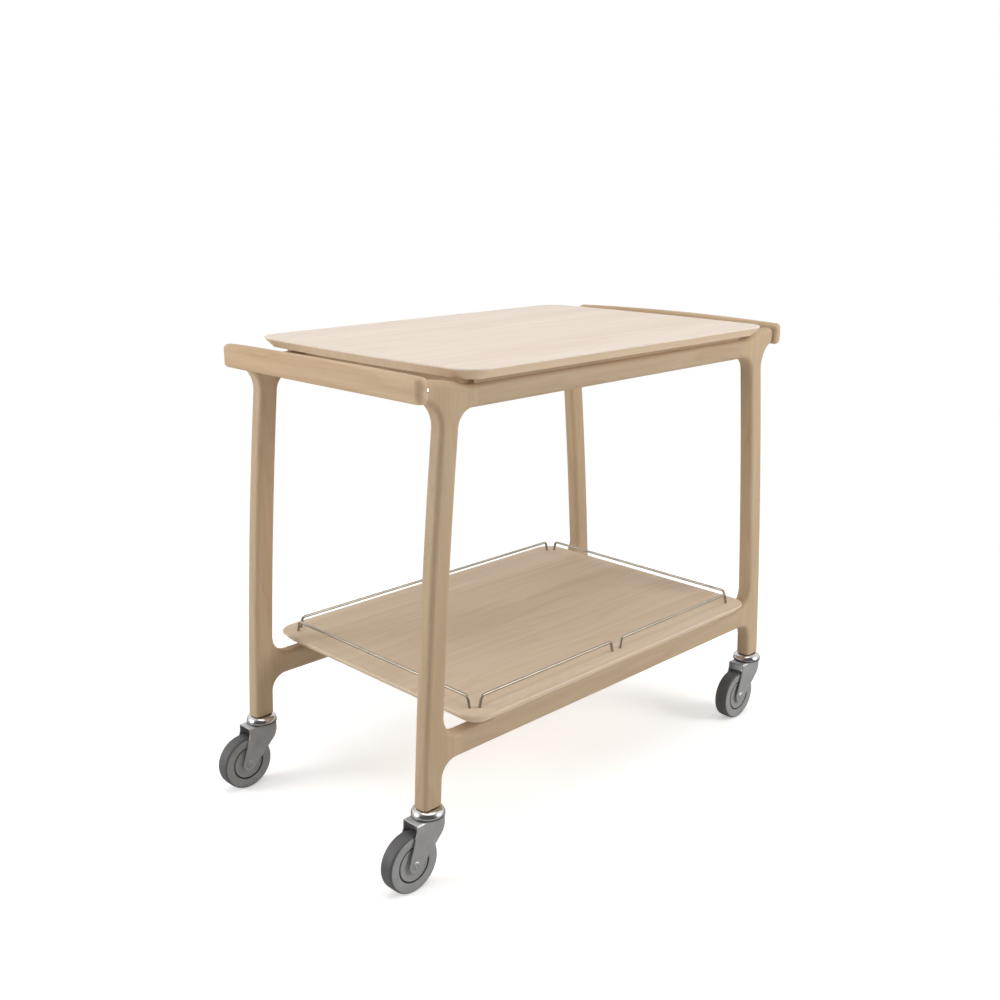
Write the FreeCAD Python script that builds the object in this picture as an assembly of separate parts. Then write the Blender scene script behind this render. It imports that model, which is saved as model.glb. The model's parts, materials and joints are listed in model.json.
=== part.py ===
import FreeCAD, Part
import math
import os

# Serving cart: a wooden frame of four bowed legs, a fixed top board, a lower shelf
# with a bent rod gallery, two handle bars and four swivel casters.
# Millimetres. x runs along the cart, y from the front side to the back, z up from the floor.
# The pieces are drawn with the middle of the frame at x = 0 and are moved at the end,
# so that the middle of the whole cart, with its trailing wheels, is at x = 0.

# top board
board_top_z = 840.0
board_thick = 18.0
board_overhang = 40.5
board_side_overhang = 44.0
board_end_bow = 9.5
board_corner_r = 44.0
board_bevel = 15.5
board_top_round = 1.2

# rails under the top board
rail_height = 36.2
rail_half_length = 352.0
board_gap = 10.0
tongue_width = 12.0
cross_rail_inset = 34.0
cross_rail_width = 22.0
cross_rail_lift = 4.0
cross_rail_round = 2.0

# handle bars and the horns of the legs
handle_drop = 25.1
bar_height = 40.5
bar_thick = 22.0
bar_end_reach = 23.0
bar_bow = 9.5
bar_top_rise = 4.0
bar_under_rise = 2.6
bar_seat_reach = 23.0
bar_end_r = 12.4
bar_inner_end_r = 9.2
bar_edge_r = 8.5
horn_reach = 48.5
horn_end_rise = 12.6
horn_end_fall = 19.0
horn_top_bow = 3.0
leg_top_flat = 15.0
leg_top_blend_r = 30.0
horn_under_rise = 47.9
disc_r = 16.4
disc_thick = 2.2
stud_r = 4.0
stud_in_horn = 22.0
stud_in_bar = 14.0

# legs
leg_y = 239.0
leg_stub = 53.0
leg_splay = 49.8
leg_bow = 5.2
leg_size_top = 38.0
leg_size_foot = 41.0
leg_depth = 30.5
leg_edge_r = 9.5
rail_corner_r = 31.0
stretcher_joint_inset = 15.0
stretcher_over_r = 36.0
stretcher_under_r = 30.0

# lower shelf and the stretchers that carry it
shelf_top_z = 275.0
shelf_thick = 18.0
shelf_overhang = 36.0
shelf_side_overhang = 42.0
shelf_corner_r = 39.0
shelf_bevel = 14.8
shelf_top_round = 2.5
stretcher_height = 51.8
stretcher_drop = 9.8
stretcher_step_inset = 68.0
stretcher_step_run = 18.0

# gallery rods round the shelf
rod_r = 2.5
rod_height = 20.0
rod_bend_r = 7.0
rod_lean = 5.0
rod_depth = 12.0
end_rod_inset = 26.5
end_rod_end_inset = 41.0
side_rod_inset = 31.0
side_rod_end_inset = 39.5
side_rod_inner = 10.6

# wooden dowels and screws
dowel_r = 4.0
dowel_length = 44.0
dowel_chamfer = 1.0
dowel_spacing = 15.0
glue_gap = 0.05
screw_r = 2.0
screw_head_r = 4.2
screw_head_height = 2.8
screw_tip = 4.0
screw_socket_r = 1.6
screw_socket_depth = 1.8
screw_hole_gap = 0.3
screw_pilot_gap = 0.05
counterbore_r = 5.0
counterbore_depth = 9.0
board_screw_bite = 11.0
shelf_screw_bite = 11.0
board_screw_inset = 67.0
shelf_screw_inset = 70.0

# casters
wheel_r = 50.0
wheel_head_room = 33.0
tyre_width = 28.0
tyre_edge_r = 5.0
tyre_seat_r = 29.5
wheel_trail = 42.0
hub_inset = 1.0
hub_dish_depth = 2.0
hub_rim_width = 4.0
boss_proud = 1.2
boss_r = 9.0
boss_flat = 4.0
tyre_gap = 0.05
axle_r = 4.0
axle_head_r = 7.5
axle_head_height = 1.6
axle_head_round_r = 1.0
running_gap = 0.05
fork_sheet = 2.5
boss_gap = 0.4
crown_thick = 3.0
crown_front = 38.0
crown_back = 20.5
crown_edge_r = 3.5
crown_front_drop = 13.0
crown_back_drop = 26.0
cheek_end_r = 14.0
cheek_round_r = 26.0
head_r = 28.3
head_height = 13.5
head_round_r = 11.0
head_skirt = 3.0
head_plate_thick = 3.2
head_gap = 0.6
kingpin_cover = 1.2
ball_r = 2.4
ball_ring_inset = 11.8
ball_count = 16
ball_gap = 0.05
kingpin_r = 6.0
kingpin_flange_r = 10.0
kingpin_flange_thick = 2.5
kingpin_gap = 0.3
stem_r = 5.0
stem_length = 36.0
stem_chamfer = 1.2
insert_wall = 3.0
insert_length = 30.0
insert_flange_step = 3.0
insert_flange_thick = 2.0

# heights and places that follow from the sizes above
caster_height = 2 * wheel_r + wheel_head_room
leg_foot_z = caster_height + insert_flange_thick
board_half_length = rail_half_length + board_overhang
board_half_width = leg_y + board_side_overhang
shelf_half_length = rail_half_length + shelf_overhang
shelf_half_width = leg_y + shelf_side_overhang
cross_rail_x = rail_half_length - cross_rail_inset
leg_x_top = rail_half_length + leg_stub
leg_x_foot = leg_x_top + leg_splay
horn_end_x = leg_x_top + horn_reach
leg_top_x = rail_half_length + leg_top_flat
stretcher_joint_x = leg_x_top - stretcher_joint_inset
stretcher_step_x = shelf_half_length - stretcher_step_inset
bar_half_length = leg_y + bar_end_reach
bar_seat_y = leg_y - bar_seat_reach
end_rod_x = shelf_half_length - end_rod_inset
end_rod_half = shelf_half_width - end_rod_end_inset
side_rod_y = shelf_half_width - side_rod_inset
side_rod_outer = shelf_half_length - side_rod_end_inset
board_screw_x = rail_half_length - board_screw_inset
shelf_screw_x = stretcher_step_x - shelf_screw_inset
handle_z = board_top_z - handle_drop
board_under_z = board_top_z - board_thick
rail_top_z = board_under_z - board_gap
rail_under_z = rail_top_z - rail_height
rail_mid_z = (rail_top_z + rail_under_z) / 2
horn_top_z = handle_z + horn_end_rise
horn_under_z = handle_z - horn_end_fall
horn_start_z = horn_under_z - horn_under_rise
stud_z = (horn_top_z + horn_under_z) / 2
shelf_under_z = shelf_top_z - shelf_thick
stretcher_under_z = shelf_under_z - stretcher_height
stretcher_end_z = shelf_under_z - stretcher_drop
stretcher_mid_z = (stretcher_under_z + stretcher_end_z) / 2
bar_inner_x = horn_end_x + disc_thick
bar_outer_x = bar_inner_x + bar_thick
hub_width = tyre_width - 2 * hub_inset
hub_dish_inner_r = boss_r + boss_flat
hub_dish_outer_r = tyre_seat_r - hub_rim_width
boss_half = tyre_width / 2 + boss_proud
fork_inner_half = boss_half + boss_gap
ball_ring_r = head_r - ball_ring_inset
insert_r = stem_r + insert_wall
insert_flange_r = insert_r + insert_flange_step
crown_top_z = caster_height - head_height - head_gap
crown_under_z = crown_top_z - crown_thick
fork_outer_half = fork_inner_half + fork_sheet
left_reach = leg_x_foot + wheel_trail + wheel_r
frame_shift = (left_reach - bar_outer_x - bar_bow) / 2

# how close two coordinates are when they count as the same
touch = 0.01

EAST = FreeCAD.Vector(1, 0, 0)
NORTH = FreeCAD.Vector(0, 1, 0)
UP = FreeCAD.Vector(0, 0, 1)
ORIGIN = FreeCAD.Vector(0, 0, 0)


def at(x, y, z):
    return FreeCAD.Vector(x, y, z)


def moved(shape, x, y, z):
    copy = shape.copy()
    copy.translate(at(x, y, z))
    return copy


def turned_round(shape):
    copy = shape.copy()
    copy.rotate(ORIGIN, UP, 180)
    return copy


def block(x0, x1, y0, y1, z0, z1):
    return Part.makeBox(x1 - x0, y1 - y0, z1 - z0, at(x0, y0, z0))


def line(a, b):
    return Part.LineSegment(a, b).toShape()


def arc(a, b, c):
    return Part.Arc(a, b, c).toShape()


def solid_from(edges, direction):
    return Part.Face(Part.Wire(edges)).extrude(direction)


def polygon(points):
    edges = []
    for first, second in zip(points, points[1:] + points[:1]):
        edges.append(line(first, second))
    return edges


def spun(points, centre, direction):
    """Turn a closed outline of (radius, height) points about the given axis through centre."""
    face = Part.Face(Part.Wire(polygon([at(r, 0, h) for r, h in points])))
    solid = face.revolve(ORIGIN, UP, 360)
    solid.Placement = FreeCAD.Placement(centre, FreeCAD.Rotation(UP, direction))
    return solid


def upright_edges(shape, x, y):
    found = []
    for edge in shape.Edges:
        ends = [v.Point for v in edge.Vertexes]
        if all(abs(p.x - x) < touch and abs(p.y - y) < touch for p in ends):
            found.append(edge)
    return found


def cross_edges(shape, x, z):
    """Edges that run along y through the point (x, z) of a side outline."""
    found = []
    for edge in shape.Edges:
        ends = [v.Point for v in edge.Vertexes]
        if all(abs(p.x - x) < touch and abs(p.z - z) < touch for p in ends):
            found.append(edge)
    return found


def level_edges(shape, z):
    found = []
    for edge in shape.Edges:
        if abs(edge.BoundBox.ZMin - z) < touch and abs(edge.BoundBox.ZMax - z) < touch:
            found.append(edge)
    return found


def leg_x(z, side):
    """x of the leg's outer (side 1) or inner (side -1) face at a height, on the right legs."""
    t = (z - leg_foot_z) / (rail_under_z - leg_foot_z)
    middle = leg_x_foot + (leg_x_top - leg_x_foot) * t + 4 * leg_bow * t * (1 - t)
    size = leg_size_foot + (leg_size_top - leg_size_foot) * t
    return middle + side * size / 2


def leg_face(z0, z1, side):
    mid = (z0 + z1) / 2
    points = [at(leg_x(z, side), 0, z) for z in (z0, mid, z1)]
    return arc(points[0], points[1], points[2])


def horn_under_curve(face):
    """The arc that leaves the leg's outer face smoothly and reaches the end of the horn."""
    start = face.valueAt(face.LastParameter)
    along = face.tangentAt(face.LastParameter)
    if along.z < 0:
        along = along * -1
    end = at(horn_end_x, 0, horn_under_z)
    outward = at(along.z, 0, -along.x)
    chord = end - start
    radius = chord.Length ** 2 / (2 * chord.dot(outward))
    centre = start + outward * radius
    middle = centre + ((start + end) * 0.5 - centre).normalize() * radius
    return arc(start, middle, end)


def horn_top_curve():
    """The long arc that falls from the end of the horn to the rail's level."""
    high = at(horn_end_x, 0, horn_top_z)
    low = at(leg_top_x, 0, rail_top_z)
    along = (high - low).normalize()
    outward = at(-along.z, 0, along.x)
    return arc(high, (high + low) * 0.5 + outward * horn_top_bow, low)


def leg_outline():
    foot_z = leg_foot_z
    rail_corner = at(leg_x(rail_under_z, -1), 0, rail_under_z)
    over_corner = at(leg_x(stretcher_end_z, -1), 0, stretcher_end_z)
    under_corner = at(leg_x(stretcher_under_z, -1), 0, stretcher_under_z)
    outer_face = leg_face(foot_z, horn_start_z, 1)
    edges = [outer_face, horn_under_curve(outer_face)]
    edges.append(line(at(horn_end_x, 0, horn_under_z), at(horn_end_x, 0, horn_top_z)))
    edges.append(horn_top_curve())
    edges.append(line(at(leg_top_x, 0, rail_top_z), at(rail_half_length, 0, rail_top_z)))
    edges.append(line(at(rail_half_length, 0, rail_top_z), at(rail_half_length, 0, rail_under_z)))
    edges.append(line(at(rail_half_length, 0, rail_under_z), rail_corner))
    edges.append(leg_face(rail_under_z, stretcher_end_z, -1))
    edges.append(line(over_corner, at(stretcher_joint_x, 0, stretcher_end_z)))
    edges.append(line(at(stretcher_joint_x, 0, stretcher_end_z), at(stretcher_joint_x, 0, stretcher_under_z)))
    edges.append(line(at(stretcher_joint_x, 0, stretcher_under_z), under_corner))
    edges.append(leg_face(stretcher_under_z, foot_z, -1))
    edges.append(line(at(leg_x(foot_z, -1), 0, foot_z), at(leg_x(foot_z, 1), 0, foot_z)))
    return edges


def on_end_face(edge):
    box = edge.BoundBox
    if box.XMax - box.XMin < touch:
        return True
    return box.ZMax < leg_foot_z + touch


def long_edges(shape):
    """The edges of the side faces that get the soft hand rounding."""
    found = []
    for edge in shape.Edges:
        box = edge.BoundBox
        flat = box.YMax - box.YMin < touch and abs(abs(box.YMax) - leg_depth / 2) < touch
        if flat and not on_end_face(edge):
            found.append(edge)
    return found


def leg_blank():
    solid = solid_from(leg_outline(), NORTH * leg_depth)
    solid.translate(NORTH * (-leg_depth / 2))
    corners = [(leg_x(rail_under_z, -1), rail_under_z, rail_corner_r)]
    corners.append((leg_top_x, rail_top_z, leg_top_blend_r))
    corners.append((leg_x(stretcher_end_z, -1), stretcher_end_z, stretcher_over_r))
    corners.append((leg_x(stretcher_under_z, -1), stretcher_under_z, stretcher_under_r))
    for x, z, radius in corners:
        solid = solid.makeFillet(radius, cross_edges(solid, x, z))
    return solid.makeFillet(leg_edge_r, long_edges(solid))


def peg(radius, x0, x1, z):
    return Part.makeCylinder(radius, x1 - x0, at(x0, 0, z), EAST)


def dowel_heights(mid_z):
    return (mid_z - dowel_spacing / 2, mid_z + dowel_spacing / 2)


def leg():
    solid = leg_blank()
    bore = dowel_r + glue_gap
    reach = dowel_length / 2 + dowel_chamfer
    for z in dowel_heights(rail_mid_z):
        solid = solid.cut(peg(bore, rail_half_length, rail_half_length + reach, z))
    for z in dowel_heights(stretcher_mid_z):
        solid = solid.cut(peg(bore, stretcher_joint_x, stretcher_joint_x + reach, z))
    stud_bore = stud_r + glue_gap
    solid = solid.cut(peg(stud_bore, horn_end_x - stud_in_horn - stud_r, horn_end_x, stud_z))
    foot = at(leg_x_foot, 0, leg_foot_z)
    return solid.cut(Part.makeCylinder(insert_r + glue_gap, stem_length + stem_r, foot, UP))


def rounded_bar(half_length, z0, z1):
    """A rail blank as deep as the leg, with its four long edges rounded."""
    half = leg_depth / 2
    bar = block(-half_length, half_length, -half, half, z0, z1)
    edges = [e for e in bar.Edges if e.BoundBox.XLength > half_length]
    return bar.makeFillet(leg_edge_r, edges)


def end_bores(solid, half_length, mid_z):
    reach = dowel_length / 2 + dowel_chamfer
    for z in dowel_heights(mid_z):
        solid = solid.cut(peg(dowel_r + glue_gap, half_length - reach, half_length, z))
        solid = solid.cut(peg(dowel_r + glue_gap, -half_length, reach - half_length, z))
    return solid


def screw_bores(solid, places, z0, z1):
    """Clearance holes with counterbored mouths on the underside."""
    for x in places:
        mouth = at(x, 0, z0)
        solid = solid.cut(Part.makeCylinder(screw_r + screw_hole_gap, z1 - z0, mouth, UP))
        solid = solid.cut(Part.makeCylinder(counterbore_r, counterbore_depth, mouth, UP))
    return solid


def top_rail():
    bar = rounded_bar(rail_half_length, rail_under_z, rail_top_z)
    half = tongue_width / 2
    tongue = block(-rail_half_length, rail_half_length, -half, half, rail_mid_z, board_under_z)
    bar = bar.fuse(tongue).removeSplitter()
    bar = end_bores(bar, rail_half_length, rail_mid_z)
    for x in (-cross_rail_x, cross_rail_x):
        bar = bar.cut(cross_bores(x, leg_depth / 2))
    return screw_bores(bar, board_screw_places(), rail_under_z, board_under_z)


def cross_bores(x, face_y):
    """The two dowel holes across the joint between a long rail and a cross rail."""
    reach = dowel_length / 2 + dowel_chamfer
    bores = []
    for z in dowel_heights(rail_mid_z):
        bores.append(Part.makeCylinder(dowel_r + glue_gap, reach * 2, at(x, face_y - reach, z), NORTH))
    return Part.Compound(bores)


def cross_rail():
    """A rail across the cart under the board, between the two long rails."""
    half = cross_rail_width / 2
    length = leg_y - leg_depth / 2
    x0 = cross_rail_x - half
    x1 = cross_rail_x + half
    bar = block(x0, x1, -length, length, rail_under_z + cross_rail_lift, board_under_z)
    edges = [e for e in bar.Edges if e.BoundBox.YLength > length]
    bar = bar.makeFillet(cross_rail_round, edges)
    return bar.cut(cross_bores(cross_rail_x, -length)).cut(cross_bores(cross_rail_x, length))


def board_screw_places():
    return (-board_screw_x, 0, board_screw_x)


def shelf_screw_places():
    return (-shelf_screw_x, 0, shelf_screw_x)


def step_curve(side):
    """Two equal arcs from a stretcher's lowered end up to the middle that carries the shelf."""
    run = stretcher_step_run
    rise = stretcher_drop
    radius = (run ** 2 + rise ** 2) / (4 * rise)
    angle = math.asin(run / 2 / radius) / 2
    inset = radius * math.sin(angle)
    lift = radius * (1 - math.cos(angle))
    low = at(side * (stretcher_step_x + run / 2), 0, stretcher_end_z)
    high = at(side * (stretcher_step_x - run / 2), 0, shelf_under_z)
    middle = (low + high) * 0.5
    lower = arc(low, at(low.x - side * inset, 0, low.z + lift), middle)
    upper = arc(middle, at(high.x + side * inset, 0, high.z - lift), high)
    return low, high, [lower, upper]


def stretcher_outline():
    low_right, high_right, right_step = step_curve(1)
    low_left, high_left, left_step = step_curve(-1)
    end = stretcher_joint_x
    edges = [line(at(-end, 0, stretcher_under_z), at(end, 0, stretcher_under_z))]
    edges.append(line(at(end, 0, stretcher_under_z), at(end, 0, stretcher_end_z)))
    edges.append(line(at(end, 0, stretcher_end_z), low_right))
    edges.extend(right_step)
    edges.append(line(high_right, high_left))
    edges.extend(reversed(left_step))
    edges.append(line(low_left, at(-end, 0, stretcher_end_z)))
    edges.append(line(at(-end, 0, stretcher_end_z), at(-end, 0, stretcher_under_z)))
    return edges


def stretcher():
    solid = solid_from(stretcher_outline(), NORTH * leg_depth)
    solid.translate(NORTH * (-leg_depth / 2))
    sides = [e for e in solid.Edges if e.BoundBox.YLength < touch and e.BoundBox.XLength > touch]
    solid = solid.makeFillet(leg_edge_r, sides)
    solid = end_bores(solid, stretcher_joint_x, stretcher_mid_z)
    return screw_bores(solid, shelf_screw_places(), stretcher_under_z, shelf_under_z)


def panel(half_length, half_width, bow, corner_r, z0, z1):
    """A flat board with rounded corners whose two ends may bow outward."""
    right_low = at(half_length, -half_width, z0)
    right_high = at(half_length, half_width, z0)
    left_low = at(-half_length, -half_width, z0)
    left_high = at(-half_length, half_width, z0)
    if bow > 0:
        right = arc(right_low, at(half_length + bow, 0, z0), right_high)
        left = arc(left_high, at(-half_length - bow, 0, z0), left_low)
    else:
        right = line(right_low, right_high)
        left = line(left_high, left_low)
    edges = [line(left_low, right_low), right, line(right_high, left_high), left]
    solid = solid_from(edges, UP * (z1 - z0))
    corners = []
    for x in (-half_length, half_length):
        for y in (-half_width, half_width):
            corners.extend(upright_edges(solid, x, y))
    return solid.makeFillet(corner_r, corners)


def bevelled(solid, bevel, top_round, z0, z1):
    solid = solid.makeChamfer(bevel, level_edges(solid, z0))
    return solid.makeFillet(top_round, level_edges(solid, z1))


def pilot_bores(solid, places, z0, bite):
    for x in places:
        for y in (-leg_y, leg_y):
            depth = bite + screw_r
            solid = solid.cut(Part.makeCylinder(screw_r + screw_pilot_gap, depth, at(x, y, z0), UP))
    return solid


def top_board():
    low = board_under_z
    solid = panel(board_half_length, board_half_width, board_end_bow, board_corner_r, low, board_top_z)
    solid = bevelled(solid, board_bevel, board_top_round, low, board_top_z)
    return pilot_bores(solid, board_screw_places(), board_under_z, board_screw_bite)


def rod_feet():
    feet = []
    for side in (-1, 1):
        for end in (-1, 1):
            feet.append((side * end_rod_x, end * end_rod_half))
            feet.append((end * side_rod_outer, side * side_rod_y))
            feet.append((end * side_rod_inner, side * side_rod_y))
    return feet


def lower_shelf():
    solid = panel(shelf_half_length, shelf_half_width, 0, shelf_corner_r, shelf_under_z, shelf_top_z)
    solid = bevelled(solid, shelf_bevel, shelf_top_round, shelf_under_z, shelf_top_z)
    solid = pilot_bores(solid, shelf_screw_places(), shelf_under_z, shelf_screw_bite)
    for x, y in rod_feet():
        depth = rod_depth + rod_r
        bore = Part.makeCylinder(rod_r + glue_gap, depth, at(x, y, shelf_top_z - depth), UP)
        solid = solid.cut(bore)
    return solid


def rounded_path(points, radius):
    """Lines joined by tangent arcs, for a bent rod."""
    edges = []
    start = points[0]
    for before, corner, after in zip(points, points[1:], points[2:]):
        back = (before - corner).normalize()
        ahead = (after - corner).normalize()
        half_angle = back.getAngle(ahead) / 2
        tangent = radius / math.tan(half_angle)
        middle_way = (back + ahead).normalize()
        reach = radius / math.sin(half_angle) - radius
        first = corner + back * tangent
        last = corner + ahead * tangent
        edges.append(line(start, first))
        edges.append(arc(first, corner + middle_way * reach, last))
        start = last
    edges.append(line(start, points[-1]))
    return Part.Wire(edges)


def bent_rod(foot_a, foot_b):
    """A round rod with both ends bent down, set into the shelf at two feet."""
    along = (foot_b - foot_a).normalize()
    top = UP * rod_height
    lean = along * rod_lean
    low_a = foot_a - UP * rod_depth
    low_b = foot_b - UP * rod_depth
    path = rounded_path([low_a, foot_a, foot_a + lean + top, foot_b - lean + top, foot_b, low_b], rod_bend_r)
    return rod_on(path, low_a)


def rod_on(path, start):
    ring = Part.Wire(Part.makeCircle(rod_r, start, UP))
    return path.makePipeShell([ring], True, True)


def end_rod(side):
    x = side * end_rod_x
    return bent_rod(at(x, -end_rod_half, shelf_top_z), at(x, end_rod_half, shelf_top_z))


def side_rod(end, side):
    y = side * side_rod_y
    inner = at(end * side_rod_inner, y, shelf_top_z)
    outer = at(end * side_rod_outer, y, shelf_top_z)
    return bent_rod(inner, outer)


def bar_plan():
    """Seen from above: flat seats at both ends, the middle bowed away from the board."""
    half = bar_half_length
    seat = bar_seat_y
    inner_bow = bar_bow * (seat / half) ** 2
    inner = [at(bar_inner_x, -half, 0), at(bar_inner_x, -seat, 0)]
    inner.extend([at(bar_inner_x, seat, 0), at(bar_inner_x, half, 0)])
    edges = [line(inner[0], inner[1])]
    edges.append(arc(inner[1], at(bar_inner_x + inner_bow, 0, 0), inner[2]))
    edges.append(line(inner[2], inner[3]))
    edges.append(line(inner[3], at(bar_outer_x, half, 0)))
    edges.append(arc(at(bar_outer_x, half, 0), at(bar_outer_x + bar_bow, 0, 0), at(bar_outer_x, -half, 0)))
    edges.append(line(at(bar_outer_x, -half, 0), inner[0]))
    solid = solid_from(edges, UP * board_top_z * 2)
    outer = upright_edges(solid, bar_outer_x, -half) + upright_edges(solid, bar_outer_x, half)
    solid = solid.makeFillet(bar_end_r, outer)
    near = upright_edges(solid, bar_inner_x, -half) + upright_edges(solid, bar_inner_x, half)
    return solid.makeFillet(bar_inner_end_r, near)


def bar_side():
    """Seen from the end of the cart: two arcs that rise a little in the middle."""
    half = bar_half_length
    z0 = handle_z - bar_height / 2
    z1 = handle_z + bar_height / 2
    edges = [arc(at(0, -half, z0), at(0, 0, z0 + bar_under_rise), at(0, half, z0))]
    edges.append(line(at(0, half, z0), at(0, half, z1)))
    edges.append(arc(at(0, half, z1), at(0, 0, z1 + bar_top_rise), at(0, -half, z1)))
    edges.append(line(at(0, -half, z1), at(0, -half, z0)))
    return solid_from(edges, EAST * (bar_outer_x + bar_bow) * 2)


def handle_bar():
    bar = bar_plan().common(bar_side())
    rims = []
    for edge in bar.Edges:
        if edge.BoundBox.ZLength < bar_height / 2:
            rims.append(edge)
    bar = bar.makeFillet(bar_edge_r, rims)
    for y in (-leg_y, leg_y):
        bore = peg(stud_r + glue_gap, bar_inner_x, bar_inner_x + stud_in_bar + stud_r / 2, stud_z)
        bar = bar.cut(moved(bore, 0, y, 0))
    return bar


def spacer_disc():
    disc = Part.makeCylinder(disc_r, disc_thick, at(horn_end_x, 0, stud_z), EAST)
    return disc.cut(peg(stud_r + screw_hole_gap, horn_end_x, bar_inner_x, stud_z))


def handle_stud():
    x0 = horn_end_x - stud_in_horn
    x1 = bar_inner_x + stud_in_bar
    return peg(stud_r, x0, x1, stud_z)


def dowel(joint_x, z):
    half = dowel_length / 2
    solid = peg(dowel_r, joint_x - half, joint_x + half, z)
    ends = [e for e in solid.Edges if e.BoundBox.XLength < touch]
    return solid.makeChamfer(dowel_chamfer, ends)


def dowel_set(joint_x, mid_z):
    solids = []
    for y in (-leg_y, leg_y):
        for z in dowel_heights(mid_z):
            solids.append(moved(dowel(joint_x, z), 0, y, 0))
            solids.append(moved(dowel(-joint_x, z), 0, y, 0))
    return Part.Compound(solids)


def cross_dowels():
    """Dowels that join the cross rails to the long rails."""
    solids = []
    joint_y = leg_y - leg_depth / 2
    for z in dowel_heights(rail_mid_z):
        across = dowel(0, z)
        across.rotate(ORIGIN, UP, 90)
        for x in (-cross_rail_x, cross_rail_x):
            solids.append(moved(across, x, joint_y, 0))
            solids.append(moved(across, x, -joint_y, 0))
    return Part.Compound(solids)


def screw(z0, z1):
    """A countersunk wood screw that stands on its head, from z0 up to its point at z1."""
    shoulder = z0 + screw_head_height
    points = [(0, z0), (screw_head_r, z0), (screw_r, shoulder), (screw_r, z1 - screw_tip), (0, z1)]
    solid = spun(points, ORIGIN, UP)
    socket = Part.makeCylinder(screw_socket_r, screw_socket_depth, at(0, 0, z0), UP)
    return solid.cut(socket)


def screw_set(places, z0, z1):
    solids = []
    for x in places:
        for y in (-leg_y, leg_y):
            solids.append(moved(screw(z0, z1), x, y, 0))
    return Part.Compound(solids)


def board_screws():
    z0 = rail_under_z + counterbore_depth - screw_head_height
    return screw_set(board_screw_places(), z0, board_under_z + board_screw_bite)


def shelf_screws():
    z0 = stretcher_under_z + counterbore_depth - screw_head_height
    return screw_set(shelf_screw_places(), z0, shelf_under_z + shelf_screw_bite)


def stem_inserts():
    """Threaded sleeves in the feet, each with a thin flange between the leg and the caster."""
    top = leg_foot_z + insert_length
    flange_top = leg_foot_z
    bore = stem_r + running_gap
    low = caster_height
    points = [(bore, low), (insert_flange_r, low), (insert_flange_r, flange_top)]
    points.extend([(insert_r, flange_top), (insert_r, top), (bore, top)])
    solids = []
    for x, y in foot_places():
        solids.append(spun(points, at(x, y, 0), UP))
    return Part.Compound(solids)


def foot_places():
    places = []
    for side in (-1, 1):
        for x in (-leg_x_foot, leg_x_foot):
            places.append((x, side * leg_y))
    return places


def swivel_head():
    """The domed cap under the leg with its stem, and the ball track on its underside."""
    low = caster_height - head_height
    plate = low + head_skirt
    inner = head_r - head_plate_thick
    bore = kingpin_r + glue_gap
    body = Part.makeCylinder(head_r, head_height, at(0, 0, low), UP)
    body = body.makeFillet(head_round_r, level_edges(body, caster_height))
    body = body.cut(Part.makeCylinder(inner, head_skirt, at(0, 0, low), UP))
    body = body.cut(ball_track())
    stem = Part.makeCylinder(stem_r, stem_length, at(0, 0, caster_height), UP)
    stem = stem.makeChamfer(stem_chamfer, level_edges(stem, caster_height + stem_length))
    solid = body.fuse(stem).removeSplitter()
    depth = head_height - head_skirt - kingpin_cover
    return solid.cut(Part.makeCylinder(bore, depth, at(0, 0, plate), UP))


def ball_z():
    return (crown_top_z + caster_height - head_height + head_skirt) / 2


def ball_track():
    return Part.makeTorus(ball_ring_r, ball_r + ball_gap, at(0, 0, ball_z()), UP)


def kingpin():
    """The pin through the fork's crown, pressed into the cap, with a flange below the crown."""
    top = caster_height - kingpin_cover - glue_gap
    flange_top = crown_under_z - kingpin_gap
    low = flange_top - kingpin_flange_thick
    points = [(0, low), (kingpin_flange_r, low), (kingpin_flange_r, flange_top)]
    points.extend([(kingpin_r, flange_top), (kingpin_r, top), (0, top)])
    return spun(points, ORIGIN, UP)


def balls():
    solids = []
    for i in range(ball_count):
        angle = 2 * math.pi * i / ball_count
        x = ball_ring_r * math.cos(angle)
        y = ball_ring_r * math.sin(angle)
        solids.append(Part.makeSphere(ball_r, at(x, y, ball_z())))
    return Part.Compound(solids)


def cheek_outline():
    """Side view of the fork: crown end to crown end, down to the round end at the axle."""
    axle = at(-wheel_trail, 0, wheel_r)
    back_top = at(crown_back, 0, crown_top_z)
    back_low = at(crown_back, 0, crown_top_z - crown_back_drop)
    front_top = at(-crown_front, 0, crown_top_z)
    front_low = at(-crown_front, 0, crown_top_z - crown_front_drop)
    back_touch = tangent_point(axle, back_low, 1)
    front_touch = tangent_point(axle, front_low, -1)
    bottom = axle + (axle - (back_low + front_low) * 0.5).normalize() * cheek_end_r
    edges = [line(front_top, back_top), line(back_top, back_low), line(back_low, back_touch)]
    edges.extend([arc(back_touch, bottom, front_touch), line(front_touch, front_low)])
    edges.append(line(front_low, front_top))
    return edges


def tangent_point(centre, point, side):
    """Where a line from point touches the cheek's round end about centre."""
    away = point - centre
    lean = math.acos(cheek_end_r / away.Length) * side
    heading = math.atan2(away.z, away.x) - lean
    return centre + at(math.cos(heading), 0, math.sin(heading)) * cheek_end_r


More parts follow.
